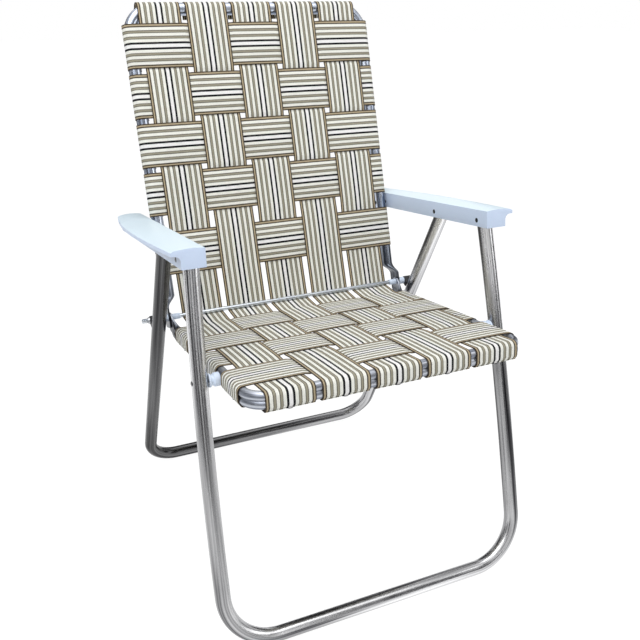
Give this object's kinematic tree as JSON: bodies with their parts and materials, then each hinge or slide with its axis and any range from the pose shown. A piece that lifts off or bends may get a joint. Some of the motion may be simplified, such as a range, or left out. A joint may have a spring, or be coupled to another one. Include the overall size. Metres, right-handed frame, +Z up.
{
  "type": "folding lawn chair",
  "caption": "Folding lawn chair with aluminium tube frames, moulded arms and woven striped webbing, which folds flat on a cross rod.",
  "frame": {"origin": "middle of the footprint, on the floor", "axes": "+X to the sitter's left, +Y to the rear, +Z up"},
  "size_m": [0.6164, 0.6408, 0.9501],
  "materials": {
    "tube": "bright drawn",
    "steel": "zinc plated",
    "arm": "smooth moulded",
    "white_nylon": "moulded",
    "guide": "moulded",
    "webbing": "woven, striped"
  },
  "bodies": {
    "back": {"back_frame": "tube", "cross_rod": "steel", "arm_rear_rivet_left": "steel", "arm_rear_rivet_right": "steel", "rod_collar_left": "white_nylon", "rod_collar_right": "white_nylon", "rod_washer_left": "white_nylon", "rod_washer_right": "white_nylon", "push_nut_left": "steel", "push_nut_right": "steel", "back_row_1": "webbing", "back_row_2": "webbing", "back_row_3": "webbing", "back_row_4": "webbing", "back_row_5": "webbing", "back_strap_1": "webbing", "back_strap_2": "webbing", "back_strap_3": "webbing", "back_strap_4": "webbing", "back_strap_5": "webbing"},
    "seat": {"seat_frame": "tube", "leg_spacer_left": "white_nylon", "leg_spacer_right": "white_nylon", "seat_rivet_left": "steel", "seat_rivet_right": "steel", "seat_row_1": "webbing", "seat_row_2": "webbing", "seat_row_3": "webbing", "seat_row_4": "webbing", "seat_strap_1": "webbing", "seat_strap_2": "webbing", "seat_strap_3": "webbing", "seat_strap_4": "webbing", "seat_strap_5": "webbing"},
    "left_arm": {"armrest_left": "arm", "arm_front_rivet_left": "steel", "arm_middle_rivet_left": "steel"},
    "right_arm": {"armrest_right": "arm", "arm_front_rivet_right": "steel", "arm_middle_rivet_right": "steel"},
    "front_legs": {"front_leg_frame": "tube"},
    "rear_legs": {"rear_leg_frame": "tube"},
    "leg_guides": {"leg_guide_left": "guide", "leg_guide_right": "guide"}
  },
  "joints": [
    {"name": "seat_fold", "type": "hinge", "parent": "back", "child": "seat", "pos_m": [0, 0.10612, 0.421], "axis": [-1, 0, 0], "range_deg": [0, 94]},
    {"name": "left_arm_fold", "type": "hinge", "parent": "back", "child": "left_arm", "pos_m": [0.26, 0.17954, 0.57075], "axis": [-1, 0, 0], "range_deg": [0, 88.4]},
    {"name": "right_arm_fold", "type": "hinge", "parent": "back", "child": "right_arm", "pos_m": [-0.26, 0.17954, 0.57075], "axis": [-1, 0, 0], "range_deg": [0, 88.4]},
    {"name": "front_leg_fold", "type": "hinge", "parent": "seat", "child": "front_legs", "pos_m": [0, -0.18609, 0.43727], "axis": [1, 0, 0], "range_deg": [0, 86.1]},
    {"name": "rear_leg_fold", "type": "hinge", "parent": "left_arm", "child": "rear_legs", "pos_m": [0, -0.00244, 0.59795], "axis": [1, 0, 0], "range_deg": [0, 43.2]},
    {"name": "leg_guide_turn", "type": "hinge", "parent": "back", "child": "leg_guides", "pos_m": [0, 0.10612, 0.421], "axis": [-1, 0, 0], "range_deg": [0, 45.3]}
  ],
  "couplings": [
    {"joint": "left_arm_fold", "follows": "seat_fold", "ratio": 0.9401},
    {"joint": "right_arm_fold", "follows": "seat_fold", "ratio": 0.9401},
    {"joint": "front_leg_fold", "follows": "seat_fold", "ratio": 0.9149},
    {"joint": "rear_leg_fold", "follows": "seat_fold", "ratio": 0.459},
    {"joint": "leg_guide_turn", "follows": "seat_fold", "ratio": 0.4811}
  ]
}
